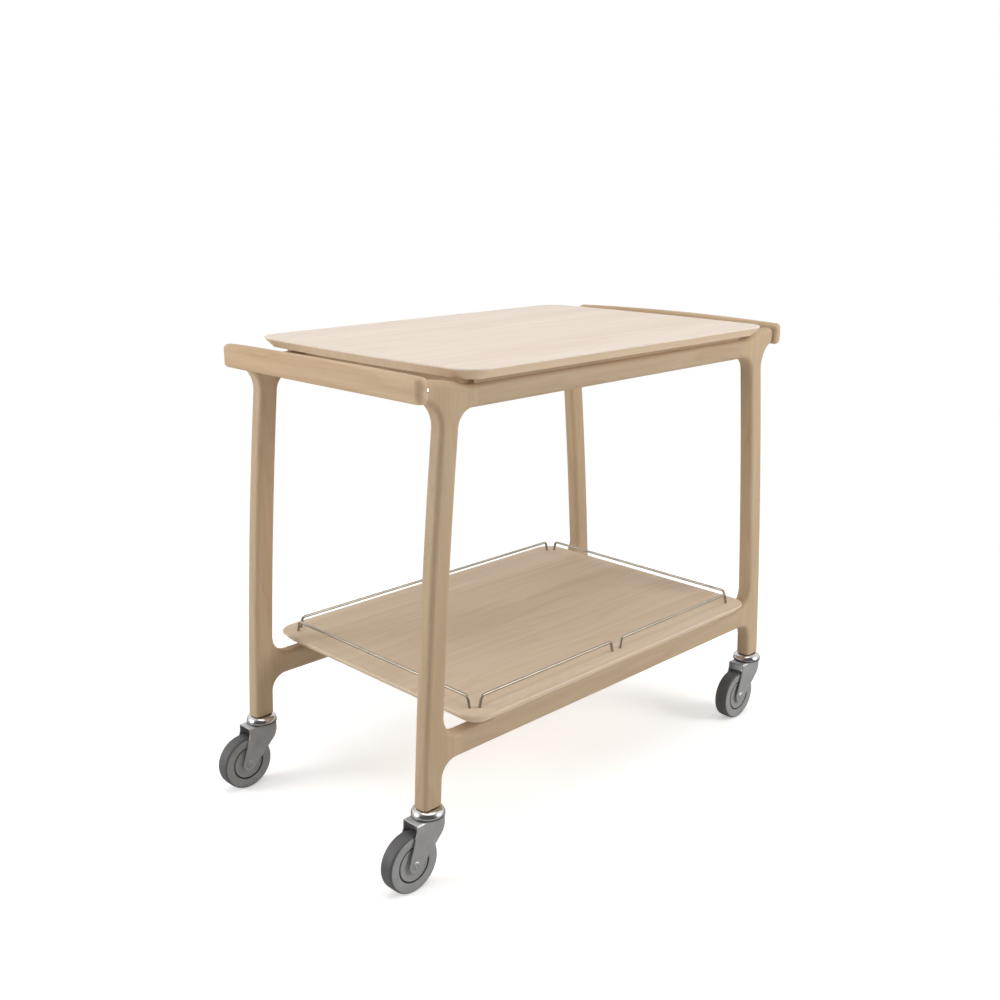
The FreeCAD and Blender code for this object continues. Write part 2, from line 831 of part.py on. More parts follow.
def fork():
    solid = solid_from(cheek_outline(), NORTH * fork_outer_half * 2)
    solid.translate(NORTH * -fork_outer_half)
    solid = solid.makeFillet(cheek_round_r, cross_edges(solid, crown_back, crown_top_z - crown_back_drop))
    crown_edges = [e for e in level_edges(solid, crown_top_z) if e.BoundBox.YLength < touch]
    solid = solid.makeFillet(crown_edge_r, crown_edges)
    reach = wheel_trail + wheel_r
    inside = block(-reach, reach, -fork_inner_half, fork_inner_half, 0, crown_under_z)
    solid = solid.cut(inside)
    pin_hole = Part.makeCylinder(kingpin_r + running_gap, head_r, at(0, 0, crown_under_z - head_r / 2), UP)
    solid = solid.cut(pin_hole).cut(ball_track())
    axle_hole = Part.makeCylinder(axle_r + running_gap, fork_outer_half * 2, axle_start(), NORTH)
    return solid.cut(axle_hole)


def axle_start():
    return at(-wheel_trail, -fork_outer_half, wheel_r)


def axle_pin():
    """The riveted axle with a low round head outside each cheek."""
    shaft = Part.makeCylinder(axle_r, fork_outer_half * 2, axle_start(), NORTH)
    for side in (-1, 1):
        y0 = fork_outer_half if side > 0 else -fork_outer_half - axle_head_height
        head = Part.makeCylinder(axle_head_r, axle_head_height, at(-wheel_trail, y0, wheel_r), NORTH)
        outer_y = side * (fork_outer_half + axle_head_height)
        rim = [e for e in head.Edges if abs(e.BoundBox.YMin - outer_y) < touch and e.BoundBox.YLength < touch]
        shaft = shaft.fuse(head.makeFillet(axle_head_round_r, rim))
    return shaft


def wheel_hub():
    """The wheel's centre with a dished face on both sides and a boss round the axle."""
    bore = axle_r + running_gap
    half = hub_width / 2
    dish = half - hub_dish_depth
    lip = hub_dish_outer_r + hub_dish_depth / 2
    side = [(bore, boss_half), (boss_r, boss_half), (boss_r, half), (hub_dish_inner_r, half)]
    side.extend([(hub_dish_inner_r + hub_dish_depth, dish), (hub_dish_outer_r, dish)])
    side.extend([(lip, half), (tyre_seat_r, half)])
    other = [(r, -h) for r, h in reversed(side)]
    return spun(side + other, at(-wheel_trail, 0, wheel_r), NORTH)


def tyre():
    centre = at(-wheel_trail, -tyre_width / 2, wheel_r)
    solid = Part.makeCylinder(wheel_r, tyre_width, centre, NORTH)
    rims = [e for e in solid.Edges if e.BoundBox.YLength < touch]
    solid = solid.makeFillet(tyre_edge_r, rims)
    return solid.cut(Part.makeCylinder(tyre_seat_r + tyre_gap, tyre_width, centre, NORTH))


def export(name, shape):
    moved(shape, frame_shift, 0, 0).exportStep("parts/" + name + ".step")


def export_frame():
    right = leg()
    left = turned_round(right)
    rail = top_rail()
    brace = stretcher()
    for side_name, side in (("front", -1), ("back", 1)):
        export(side_name + "_right_leg", moved(right, 0, side * leg_y, 0))
        export(side_name + "_left_leg", moved(left, 0, side * leg_y, 0))
        export(side_name + "_stretcher", moved(brace, 0, side * leg_y, 0))
    export("front_top_rail", moved(rail, 0, -leg_y, 0))
    export("back_top_rail", moved(turned_round(rail), 0, leg_y, 0))
    export("right_cross_rail", cross_rail())
    export("left_cross_rail", turned_round(cross_rail()))
    end_dowels = dowel_set(rail_half_length, rail_mid_z)
    export("rail_dowels", Part.Compound(end_dowels.Solids + cross_dowels().Solids))
    export("stretcher_dowels", dowel_set(stretcher_joint_x, stretcher_mid_z))


def export_handles():
    bar = handle_bar()
    export("right_handle_bar", bar)
    export("left_handle_bar", turned_round(bar))
    disc = spacer_disc()
    studs = []
    for side_name, side in (("front", -1), ("back", 1)):
        export(side_name + "_right_spacer_disc", moved(disc, 0, side * leg_y, 0))
        export(side_name + "_left_spacer_disc", moved(turned_round(disc), 0, side * leg_y, 0))
        studs.append(moved(handle_stud(), 0, side * leg_y, 0))
        studs.append(moved(turned_round(handle_stud()), 0, side * leg_y, 0))
    export("handle_studs", Part.Compound(studs))


def export_boards():
    export("top_board", top_board())
    export("top_board_screws", board_screws())
    export("lower_shelf", lower_shelf())
    export("shelf_screws", shelf_screws())


def export_gallery():
    export("left_gallery_rod", end_rod(-1))
    export("right_gallery_rod", end_rod(1))
    for side_name, side in (("front", -1), ("back", 1)):
        export(side_name + "_left_gallery_rod", side_rod(-1, side))
        export(side_name + "_right_gallery_rod", side_rod(1, side))


def export_casters():
    pieces = {"swivel_head": swivel_head(), "kingpin": kingpin(), "swivel_balls": balls()}
    pieces.update({"fork": fork(), "axle": axle_pin(), "wheel_hub": wheel_hub(), "tyre": tyre()})
    for side_name, side in (("front", -1), ("back", 1)):
        for end_name, end in (("left", -1), ("right", 1)):
            for name, shape in pieces.items():
                placed = moved(shape, end * leg_x_foot, side * leg_y, 0)
                export(side_name + "_" + end_name + "_" + name, placed)
    export("stem_inserts", stem_inserts())


os.makedirs("parts", exist_ok=True)
export_frame()
export_handles()
export_boards()
export_gallery()
export_casters()
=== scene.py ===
import json
import math

import bmesh
import bpy
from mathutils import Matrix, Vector

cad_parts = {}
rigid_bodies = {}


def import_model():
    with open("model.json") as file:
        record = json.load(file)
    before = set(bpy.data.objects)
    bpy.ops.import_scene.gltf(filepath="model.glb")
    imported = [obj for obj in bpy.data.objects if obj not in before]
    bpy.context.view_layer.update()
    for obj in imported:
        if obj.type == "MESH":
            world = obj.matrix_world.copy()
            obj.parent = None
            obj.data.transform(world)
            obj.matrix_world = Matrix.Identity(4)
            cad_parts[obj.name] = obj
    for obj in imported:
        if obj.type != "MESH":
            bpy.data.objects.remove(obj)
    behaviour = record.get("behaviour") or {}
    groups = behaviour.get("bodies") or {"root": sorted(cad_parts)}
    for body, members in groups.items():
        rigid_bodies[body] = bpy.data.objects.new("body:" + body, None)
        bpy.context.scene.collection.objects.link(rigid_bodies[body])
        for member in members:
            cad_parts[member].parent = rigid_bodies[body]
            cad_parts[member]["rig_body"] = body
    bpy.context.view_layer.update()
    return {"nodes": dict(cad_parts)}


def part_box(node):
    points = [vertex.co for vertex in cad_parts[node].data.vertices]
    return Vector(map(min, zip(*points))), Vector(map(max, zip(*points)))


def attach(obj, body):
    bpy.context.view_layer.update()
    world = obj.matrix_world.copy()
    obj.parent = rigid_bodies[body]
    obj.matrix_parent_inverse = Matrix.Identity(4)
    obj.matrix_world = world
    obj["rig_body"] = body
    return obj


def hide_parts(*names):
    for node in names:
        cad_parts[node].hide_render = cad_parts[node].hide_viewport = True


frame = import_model()

MM = 0.001
CORNERS = ("front_left", "front_right", "back_left", "back_right")
ACROSS = (0, 1, 0)
UPWARD = (0, 0, 1)
FULL_TURN = math.radians(360)
QUARTER_TURN = math.radians(90)

# where the photograph was taken from: metres, degrees and millimetres
CAMERA_PLACE = (-1.53595, -1.52688, 1.1122)
CAMERA_TILT = 74.658
CAMERA_TURN = -44.718
CAMERA_LENS = 42.14
CAMERA_SENSOR = 36

# each wood's light and dark colour, as red, green and blue from 0 to 255, and its figure's strength
# the top board's pale colours are a painted sheen from the light above; its bevel and underside take the
# darker colours below
BOARD_WOOD_PAINTED_SHEEN = ((239, 226, 215), (217, 198, 178), 0.8)
UNDERSIDE_WOOD = ((224, 202, 173), (200, 175, 144), 0.6)
SHELF_WOOD = ((229, 210, 187), (202, 176, 147), 0.8)
LEG_WOOD = ((198, 175, 144), (164, 136, 104), 0.65)
RAIL_COLOURS = ((197, 176, 148), (164, 138, 107))
RAIL_WOOD = (*RAIL_COLOURS, 0.7)
CROSS_RAIL_WOOD = (*RAIL_COLOURS, 0.9)
DOWEL_WOOD = (*RAIL_COLOURS, 0.5)
BAR_WOOD = ((212, 187, 155), (176, 146, 112), 0.9)

# the standard curve from a screen colour to linear light
COLOUR_STEPS = 255
CURVE_KNEE = 0.04045
CURVE_SLOPE = 12.92
CURVE_OFFSET = 0.055
CURVE_POWER = 2.4


def colour(rgb):
    """The linear colour of a screen colour given from 0 to 255."""
    values = []
    for part in rgb:
        level = part / COLOUR_STEPS
        if level <= CURVE_KNEE:
            values.append(level / CURVE_SLOPE)
        else:
            values.append(((level + CURVE_OFFSET) / (1 + CURVE_OFFSET)) ** CURVE_POWER)
    return (values[0], values[1], values[2], 1.0)


# helpers for shader nodes
def add(tree, kind, **settings):
    node = tree.nodes.new("ShaderNode" + kind)
    for name, value in settings.items():
        setattr(node, name, value)
    return node


def plug(tree, socket, value):
    """Link an output to the socket, or set the socket to a plain value."""
    if isinstance(value, bpy.types.NodeSocket):
        tree.links.new(value, socket)
    else:
        socket.default_value = value


def feed(tree, node, **values):
    """Plug values into the inputs of a node that they name, with an underscore for each space."""
    for name, value in values.items():
        plug(tree, node.inputs[name.replace("_", " ")], value)
    return node


def noise(tree, vector, kind):
    """Noise of one kind: its cells to a metre along each axis, its detail and its roughness."""
    cells, detail, roughness = kind
    scaled = feed(tree, add(tree, "Mapping"), Vector=vector, Scale=cells).outputs["Vector"]
    node = add(tree, "TexNoise")
    feed(tree, node, Vector=scaled, Scale=1.0, Detail=detail, Roughness=roughness)
    return node.outputs["Fac"]


def remap(tree, value, spread, low=0.0, high=1.0):
    """Stretch the values inside the spread over low to high, and hold those outside it."""
    start, end = spread
    node = add(tree, "MapRange", clamp=True)
    feed(tree, node, Value=value, From_Min=start, From_Max=end, To_Min=low, To_Max=high)
    return node.outputs["Result"]


def maths(tree, operation, first, second=0.0):
    node = add(tree, "Math", operation=operation)
    plug(tree, node.inputs[0], first)
    plug(tree, node.inputs[1], second)
    return node.outputs["Value"]


# what a blend works on, with the places of its two inputs and of its output
VALUES = ("FLOAT", 2, 3, 0)
COLOURS = ("RGBA", 6, 7, 2)


def blend(tree, kind, share, first, second):
    """Go from the first value or colour to the second as the share goes from 0 to 1."""
    data_type, first_input, second_input, output = kind
    node = add(tree, "Mix", data_type=data_type)
    plug(tree, node.inputs[0], share)
    plug(tree, node.inputs[first_input], first)
    plug(tree, node.inputs[second_input], second)
    return node.outputs[output]


def new_group(name, inputs):
    """An empty group that takes the inputs and gives a colour, a roughness and a height."""
    tree = bpy.data.node_groups.new(name, "ShaderNodeTree")
    for label, kind in [("Vector", "Vector")] + inputs:
        tree.interface.new_socket(name=label, in_out="INPUT", socket_type="NodeSocket" + kind)
    for label, kind in (("Color", "Color"), ("Roughness", "Float"), ("Height", "Float")):
        tree.interface.new_socket(name=label, in_out="OUTPUT", socket_type="NodeSocket" + kind)
    source = tree.nodes.new("NodeGroupInput").outputs
    drain = tree.nodes.new("NodeGroupOutput")
    return tree, source, drain


FULL_SPREAD = (0, 1)
NOISE_SPREAD = (0.3, 0.7)

# the kinds of noise in wood: cells to a metre along the grain and twice across it, detail, roughness
DRIFT = ((0.8, 4, 4), 2, 0.55)
SWAY = ((0.9, 6, 6), 3, 0.55)
CLOUD = ((1.1, 11, 11), 3, 0.55)
STREAK = ((1.9, 75, 75), 5, 0.62)
FIBRE = ((8, 560, 560), 3, 0.55)
PORE = ((40, 1900, 1900), 1, 0.55)
PORE_SPREAD = (0.6, 0.74)

# how far the grain drifts across its own line, in metres
DRIFT_REACH = (0, 0.05, 0.04)

# how many year rings a metre holds, how far they sway, and how fast each darkens and ends
RING_COUNT = 34
RING_SWAY = 11
RING_SLANT = 0.6
RING_RISE = 3
RING_FALL = 9

# how far each layer of the figure may darken the wood
CLOUD_SHARE = 0.42
STREAK_SHARE = 0.34
FIBRE_SHARE = 0.16
PORE_SHARE = 0.22
RING_SHARE = 0.26

FIBRE_HEIGHT_SHARE = 0.5
WOOD_SMOOTH = 0.5
WOOD_ROUGH = 0.68


def growth_lines(tree, flow):
    """Uneven year rings, cut lengthwise, each darkening slowly and ending in a crisp line."""
    split = feed(tree, add(tree, "SeparateXYZ"), Vector=flow).outputs
    across = maths(tree, "ADD", split["Y"], maths(tree, "MULTIPLY", split["Z"], RING_SLANT))
    sway = maths(tree, "MULTIPLY", noise(tree, flow, SWAY), RING_SWAY)
    count = maths(tree, "ADD", maths(tree, "MULTIPLY", across, RING_COUNT), sway)
    ring = maths(tree, "FRACT", count)
    rise = maths(tree, "POWER", ring, RING_RISE)
    fall = maths(tree, "MULTIPLY", maths(tree, "SUBTRACT", 1, ring), RING_FALL)
    return maths(tree, "MULTIPLY", maths(tree, "MINIMUM", rise, fall), RING_SHARE)


def wood_group():
    """The figure of light hardwood, with the grain along x."""
    inputs = [("Light", "Color"), ("Dark", "Color"), ("Figure", "Float")]
    tree, source, drain = new_group("wood figure", inputs)
    drift = noise(tree, source["Vector"], DRIFT)
    bend = add(tree, "VectorMath", operation="MULTIPLY_ADD")
    for socket, value in zip(bend.inputs, (drift, DRIFT_REACH, source["Vector"])):
        plug(tree, socket, value)
    flow = bend.outputs["Vector"]
    cloud = noise(tree, flow, CLOUD)
    streak = noise(tree, flow, STREAK)
    fibre = noise(tree, flow, FIBRE)
    pore = remap(tree, noise(tree, flow, PORE), PORE_SPREAD)
    broad = remap(tree, cloud, NOISE_SPREAD, 0, CLOUD_SHARE)
    fine = remap(tree, streak, NOISE_SPREAD, 0, STREAK_SHARE)
    hair = remap(tree, fibre, NOISE_SPREAD, 0, FIBRE_SHARE)
    line = growth_lines(tree, flow)
    mask = maths(tree, "ADD", maths(tree, "ADD", broad, fine), maths(tree, "ADD", hair, line))
    mask = maths(tree, "MULTIPLY", mask, source["Figure"])
    mask = maths(tree, "ADD", mask, maths(tree, "MULTIPLY", pore, PORE_SHARE))
    tint = blend(tree, COLOURS, mask, source["Light"], source["Dark"])
    roughness = remap(tree, mask, FULL_SPREAD, WOOD_SMOOTH, WOOD_ROUGH)
    height = maths(tree, "SUBTRACT", maths(tree, "MULTIPLY", fibre, FIBRE_HEIGHT_SHARE), pore)
    feed(tree, drain, Color=tint, Roughness=roughness, Height=height)
    return tree


# the marks on metal: cells to a metre along x, y and z, detail, roughness
SMUDGE = ((34, 34, 34), 4, 0.55)
SMUDGE_SPREAD = (0.35, 0.75)
SMUDGE_SHARE = 0.6
SCRATCH = ((180, 180, 2600), 2, 0.55)
SCRATCH_SPREAD = (0.4, 0.8)
SCRATCH_SHARE = 0.3


def metal_group():
    """The smudges of worked metal and its fine level scratches."""
    tree, source, drain = new_group("worked metal", [("Clean", "Color"), ("Dull", "Color")])
    smudge = noise(tree, source["Vector"], SMUDGE)
    scratch = noise(tree, source["Vector"], SCRATCH)
    smudged = remap(tree, smudge, SMUDGE_SPREAD, 0, SMUDGE_SHARE)
    mask = maths(tree, "ADD", smudged, remap(tree, scratch, SCRATCH_SPREAD, 0, SCRATCH_SHARE))
    tint = blend(tree, COLOURS, mask, source["Clean"], source["Dull"])
    feed(tree, drain, Color=tint, Roughness=remap(tree, mask, FULL_SPREAD), Height=scratch)
    return tree


# the pebbles and the dust of a moulded skin: cells to a metre, detail, roughness
PEBBLE = ((900, 900, 900), 3, 0.55)
PEBBLE_LEAST_SHARE = 0.4
DUST = ((28, 28, 28), 4, 0.55)
DUST_SPREAD = (0.42, 0.75)
MOULDED_SMOOTH = 0.5
MOULDED_ROUGH = 0.66


def moulded_group():
    """The fine pebbled skin of moulded rubber and plastic, with dust in it."""
    tree, source, drain = new_group("moulded skin", [("Body", "Color"), ("Dust", "Color")])
    pebble = noise(tree, source["Vector"], PEBBLE)
    cloud = noise(tree, source["Vector"], DUST)
    grit = remap(tree, pebble, NOISE_SPREAD, PEBBLE_LEAST_SHARE, 1)
    mask = maths(tree, "MULTIPLY", remap(tree, cloud, DUST_SPREAD), grit)
    tint = blend(tree, COLOURS, mask, source["Body"], source["Dust"])
    roughness = remap(tree, cloud, NOISE_SPREAD, MOULDED_SMOOTH, MOULDED_ROUGH)
    feed(tree, drain, Color=tint, Roughness=roughness, Height=pebble)
    return tree


WOOD = wood_group()
METAL = metal_group()
MOULDED = moulded_group()


# materials
WOOD_SHEEN = 0.3
GRAIN_STRENGTH = 0.25
GRAIN_DEPTH = 0.15 * MM
SCRATCH_DEPTH = 0.05 * MM
PEBBLE_DEPTH = 0.1 * MM
PATTERN_STEPS = (0.37, 0.23, 0.41)
GRAIN_TURNS = {"x": (0, 0, 0), "y": (0, 0, QUARTER_TURN), "z": (0, QUARTER_TURN, 0)}


def new_material(name):
    material = bpy.data.materials.new(name)
    material.use_nodes = True
    tree = material.node_tree
    shader = tree.nodes["Principled BSDF"]
    place = add(tree, "TexCoord").outputs["Object"]
    return material, tree, shader, place


def use_group(tree, group, **values):
    node = tree.nodes.new("ShaderNodeGroup")
    node.node_tree = group
    return feed(tree, node, **values).outputs


def bump(tree, height, strength, depth):
    node = feed(tree, add(tree, "Bump"), Height=height, Strength=strength, Distance=depth)
    return node.outputs["Normal"]


def wood(name, grain, kind, index):
    """One plank's wood: grain is the axis it runs along, index shifts the pattern."""
    light, dark, figure = kind
    material, tree, shader, place = new_material(name)
    shift = [step * index for step in PATTERN_STEPS]
    turn = feed(tree, add(tree, "Mapping"), Vector=place, Rotation=GRAIN_TURNS[grain], Location=shift)
    flow = turn.outputs["Vector"]
    skin = use_group(tree, WOOD, Vector=flow, Light=colour(light), Dark=colour(dark), Figure=figure)
    normal = bump(tree, skin["Height"], GRAIN_STRENGTH, GRAIN_DEPTH)
    feed(tree, shader, Base_Color=skin["Color"], Roughness=skin["Roughness"], Normal=normal)
    feed(tree, shader, Specular_IOR_Level=WOOD_SHEEN)
    return material


def metal(name, clean, dull, smooth, rough, strength):
    material, tree, shader, place = new_material(name)
    skin = use_group(tree, METAL, Vector=place, Clean=colour(clean), Dull=colour(dull))
    roughness = remap(tree, skin["Roughness"], FULL_SPREAD, smooth, rough)
    normal = bump(tree, skin["Height"], strength, SCRATCH_DEPTH)
    feed(tree, shader, Base_Color=skin["Color"], Metallic=1.0, Roughness=roughness, Normal=normal)
    return material


def moulded(name, body, dust, strength):
    material, tree, shader, place = new_material(name)
    skin = use_group(tree, MOULDED, Vector=place, Body=colour(body), Dust=colour(dust))
    normal = bump(tree, skin["Height"], strength, PEBBLE_DEPTH)
    feed(tree, shader, Base_Color=skin["Color"], Roughness=skin["Roughness"], Normal=normal)
    return material


# each metal: clean and dull colour, least and greatest roughness, strength of its scratches
# the rods' grey is the steel's own; their warm tint is a painted reflection of the wood around them
ROD_STEEL_PAINTED_REFLECTION = metal("satin stainless rod with painted wood reflection", (172, 163, 150), (142, 134, 122), 0.34, 0.44, 0.1)
DISC_STEEL = metal("polished disc", (236, 236, 236), (206, 205, 202), 0.1, 0.2, 0.05)
CHROME = metal("chrome cap", (222, 221, 220), (192, 190, 187), 0.14, 0.22, 0.03)
# the cap's lip is painted dark: a painted shadow along the gap above the fork's crown
LIP_PAINTED_SHADE = metal("painted shade on the lip of the cap", (120, 119, 118), (96, 95, 94), 0.3, 0.44, 0.1)
ZINC = metal("zinc plated fork", (203, 204, 205), (177, 178, 178), 0.5, 0.62, 0.12)
BOLT_STEEL = metal("plain steel", (190, 189, 186), (150, 149, 146), 0.28, 0.45, 0.1)

# each moulded skin: its own colour, the colour of the dust, strength of its pebbles
TREAD = moulded("dark rubber tread", (82, 82, 84), (101, 99, 97), 0.35)
SIDEWALL = moulded("grey tyre side", (150, 150, 149), (134, 133, 131), 0.2)
# the seam's colour is painted shade in the groove between tyre and hub
SEAM_PAINTED_SHADE = moulded("painted shade in the seam of the tyre", (38, 38, 38), (56, 54, 52), 0.2)
HUB = moulded("grey plastic hub", (154, 154, 153), (140, 138, 136), 0.15)


# pieces that stand in for the nodes of the plain model
STALE_MARKS = ("custom_normal", "sharp_edge", "sharp_face")
SMOOTH_ANGLE = math.radians(34)
MERGE_GAP = 0.01 * MM
SLIVER = 0.03 * MM


def show(bm, name):
    """A smoothly shaded object; the plain model's own marks for shading are dropped."""
    mesh = bpy.data.meshes.new(name)
    bm.to_mesh(mesh)
    bm.free()
    for mark in STALE_MARKS:
        if mark in mesh.attributes:
            mesh.attributes.remove(mesh.attributes[mark])
    mesh.shade_smooth()
    mesh.set_sharp_from_angle(angle=SMOOTH_ANGLE)
    shown = bpy.data.objects.new(name, mesh)
    bpy.context.scene.collection.objects.link(shown)
    weigh = shown.modifiers.new("even normals", "WEIGHTED_NORMAL")
    weigh.keep_sharp = True
    return shown


def settle(bm, node, material):
    """A piece in place of its node, riding on the node's body; the node is hidden."""
    piece = show(bm, node + "_piece")
    piece.data.materials.append(material)
    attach(piece, frame["nodes"][node]["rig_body"])
    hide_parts(node)
    return piece


def dressed(node, material):
    """A piece with the node's own form, merged and without slivers."""
    bm = bmesh.new()
    bm.from_mesh(frame["nodes"][node].data)
    bmesh.ops.remove_doubles(bm, verts=bm.verts, dist=MERGE_GAP)
    bmesh.ops.dissolve_degenerate(bm, dist=SLIVER, edges=bm.edges)
    return settle(bm, node, material)


def repaint(piece, material, chosen):
    """Give another material to the faces for which chosen is true."""
    index = len(piece.data.materials)
    piece.data.materials.append(material)
    for face in piece.data.polygons:
        if chosen(face):
            face.material_index = index


# turned and pressed parts of the casters
RIM_ANGLE = math.radians(60)
ROUND_PROFILE = 0.5


def turned(points, centre, axis, steps, ring=False):
    """Spin a profile of (radius, height) points, in millimetres, about the axis through centre."""
    bm = bmesh.new()
    verts = [bm.verts.new((radius * MM, 0, height * MM)) for radius, height in points]
    for first, second in zip(verts, verts[1:]):
        bm.edges.new((first, second))
    if ring:
        bm.edges.new((verts[-1], verts[0]))
    bmesh.ops.spin(bm, geom=bm.verts[:] + bm.edges[:], cent=(0, 0, 0), axis=UPWARD, angle=FULL_TURN,
                   steps=steps, use_merge=True)
    bmesh.ops.remove_doubles(bm, verts=bm.verts, dist=MERGE_GAP)
    bmesh.ops.recalc_face_normals(bm, faces=bm.faces)
    turn = Vector(UPWARD).rotation_difference(Vector(axis)).to_matrix()
    bmesh.ops.rotate(bm, cent=(0, 0, 0), matrix=turn, verts=bm.verts)
    bmesh.ops.translate(bm, vec=centre, verts=bm.verts)
    return bm


def mirrored(profile):
    """A wheel profile given for one side, closed with its mirror image on the other side."""
    return profile + [(radius, -height) for radius, height in reversed(profile)]


def sharp_edges(bm):
    return [edge for edge in bm.edges if edge.is_manifold and edge.calc_face_angle(0) > RIM_ANGLE]


def soften(bm, edges, size, segments):
    bmesh.ops.bevel(bm, geom=edges, offset=size * MM, offset_type="OFFSET", segments=segments,
                    profile=ROUND_PROFILE, affect="EDGES", material=-1, clamp_overlap=True)


def middle(node):
    low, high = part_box(node)
    return (low + high) / 2


def stem_foot(corner):
    """The point on the floor below the caster's stem."""
    place = middle(corner + "_swivel_head")
    return Vector((place.x, place.y, 0))


# half of the tyre's section, as radius and distance from the wheel's middle
TYRE_SIDE = [(29.6, 9.8), (31.8, 12.6), (33.2, 13.3), (38.0, 13.8), (44.6, 13.9), (47.2, 13.4)]
TYRE_TREAD = [(49.0, 12.2), (49.8, 10.4), (50.0, 7.5)]
SEAM_R = 31.4 * MM
TREAD_R = 47.6 * MM
WHEEL_STEPS = 96


def tyre_piece(corner):
    """The tyre's sides are paler than its tread, and the seam beside the hub is painted dark, a painted
    shade in the groove.
    """
    node = corner + "_tyre"
    centre = middle(node)

    def radius(face):
        away = face.center - centre
        return math.hypot(away.x, away.z)

    form = turned(mirrored(TYRE_SIDE + TYRE_TREAD), centre, ACROSS, WHEEL_STEPS, ring=True)
    tyre = settle(form, node, SIDEWALL)
    repaint(tyre, TREAD, lambda face: radius(face) > TREAD_R)
    # faces inside the seam's radius take the painted shade
    repaint(tyre, SEAM_PAINTED_SHADE, lambda face: radius(face) < SEAM_R)


# half of the hub's section: the boss and the dish, then the rim that carries the tyre
HUB_SIDE = [(4.1, 15.2), (8.4, 15.2), (9.0, 14.6), (9.0, 12.6), (12.6, 12.6), (13.4, 12.2), (14.8, 11.6)]
HUB_RIM = [(24.6, 11.6), (25.6, 12.1), (26.4, 12.8), (28.3, 12.7), (29.4, 10.8)]


def hub_piece(corner):
    form = turned(mirrored(HUB_SIDE + HUB_RIM), middle(corner + "_tyre"), ACROSS, WHEEL_STEPS, ring=True)
    settle(form, corner + "_wheel_hub", HUB)


# half of the axle's section: the domed head outside the fork, then the shaft
AXLE_SIDE = [(0, 18.9), (1.9, 18.9), (2.3, 19.6), (4.4, 19.55), (6.4, 19.0), (7.4, 18.1), (4.0, 18.05)]
AXLE_STEPS = 40


def axle_piece(corner):
    form = turned(mirrored(AXLE_SIDE), middle(corner + "_tyre"), ACROSS, AXLE_STEPS)
    settle(form, corner + "_axle", ZINC)


# the section of the cap and its stem, as radius and height above the floor, from the top down
CAP_STEM = [(0, 169), (3.8, 169), (5, 167.8), (5, 133)]
CAP_TOP = [(17.3, 133), (19.5, 132.7), (22.8, 131.5), (25.4, 129.4), (27.2, 126.8), (28.1, 124.2)]
CAP_LIP = [(28.3, 122.6), (28.3, 119.9), (28.0, 119.5), (25.4, 119.5), (25.1, 119.8)]
CAP_UNDER = [(25.1, 122.5), (18.9, 122.5), (17.9, 122.9), (16.5, 123.15), (15.1, 122.9), (14.1, 122.5)]
CAP_PIN_HOLE = [(6.1, 122.5), (6.1, 131.8), (0, 131.8)]
LIP_HEIGHT = 122.8 * MM
CAP_STEPS = 64


def cap_piece(corner):
    """The domed cap and its stem; the lip of the cap is painted dark, a painted shadow along the gap above
    the fork's crown.
    """
    profile = CAP_STEM + CAP_TOP + CAP_LIP + CAP_UNDER + CAP_PIN_HOLE
    form = turned(profile, stem_foot(corner), UPWARD, CAP_STEPS)
    cap = settle(form, corner + "_swivel_head", CHROME)
    # faces below the lip's height take the painted shade
    repaint(cap, LIP_PAINTED_SHADE, lambda face: face.center.z < LIP_HEIGHT)


# the fork from the side, measured from the stem and the floor
FORK_TOP = 118.9
FORK_FRONT = -38.0
FORK_FRONT_LOW = 105.9
FORK_BACK = 20.5
FORK_BACK_LOW = 93.0
FORK_END_BACK = (-39.9, 32.3)
FORK_END_FRONT = (-58.8, 43.9)

# how far its four soft corners are rounded, and in how many steps
BACK_ROUND = 10.8
END_ROUND = 11.0
FRONT_ROUND = 4.0
ROUND_SEGMENTS = 8

# a cheek's corners, from the front end of the crown to its back end and on down, with their rounds
CHEEK_CORNERS = [(FORK_FRONT, FORK_TOP), (FORK_BACK, FORK_TOP), (FORK_BACK, FORK_BACK_LOW)]
CHEEK_CORNERS.extend([FORK_END_BACK, FORK_END_FRONT, (FORK_FRONT, FORK_FRONT_LOW)])
CHEEK_ROUNDS = (0, 0, BACK_ROUND, END_ROUND, END_ROUND, FRONT_ROUND)

# half the fork's width, its sheet, and the rounding of its two bends and of its cut rims
FORK_HALF = 18.1
FORK_SHEET = 2.5
FORK_BEND = 4.0
BEND_SEGMENTS = 6
FORK_RIM = 0.5
RIM_SEGMENTS = 3


def cheek(bm, side):
    """The corner points of the cheek on one side of the wheel."""
    return [bm.verts.new((x * MM, side * FORK_HALF * MM, z * MM)) for x, z in CHEEK_CORNERS]


def fork_skin():
    """The outer skin of the fork: two cheeks and the crown between them, with a soft bend."""
    bm = bmesh.new()
    near = cheek(bm, -1)
    far = cheek(bm, 1)
    bm.faces.new(near)
    bm.faces.new(reversed(far))
    bm.faces.new((near[1], near[0], far[0], far[1]))
    bmesh.ops.recalc_face_normals(bm, faces=bm.faces)
    for one, other, size in zip(near, far, CHEEK_ROUNDS):
        if size:
            bmesh.ops.bevel(bm, geom=[one, other], offset=size * MM, offset_type="OFFSET",
                            segments=ROUND_SEGMENTS, profile=ROUND_PROFILE, affect="VERTICES", material=-1)
    soften(bm, sharp_edges(bm), FORK_BEND, BEND_SEGMENTS)
    return bm


def fork_piece(corner):
    """The skin made solid, with its rims softened."""
    bm = fork_skin()
    bmesh.ops.solidify(bm, geom=bm.faces[:], thickness=FORK_SHEET * MM)
    bmesh.ops.recalc_face_normals(bm, faces=bm.faces)
    soften(bm, sharp_edges(bm), FORK_RIM, RIM_SEGMENTS)
    bmesh.ops.translate(bm, vec=stem_foot(corner), verts=bm.verts)
    settle(bm, corner + "_fork", ZINC)


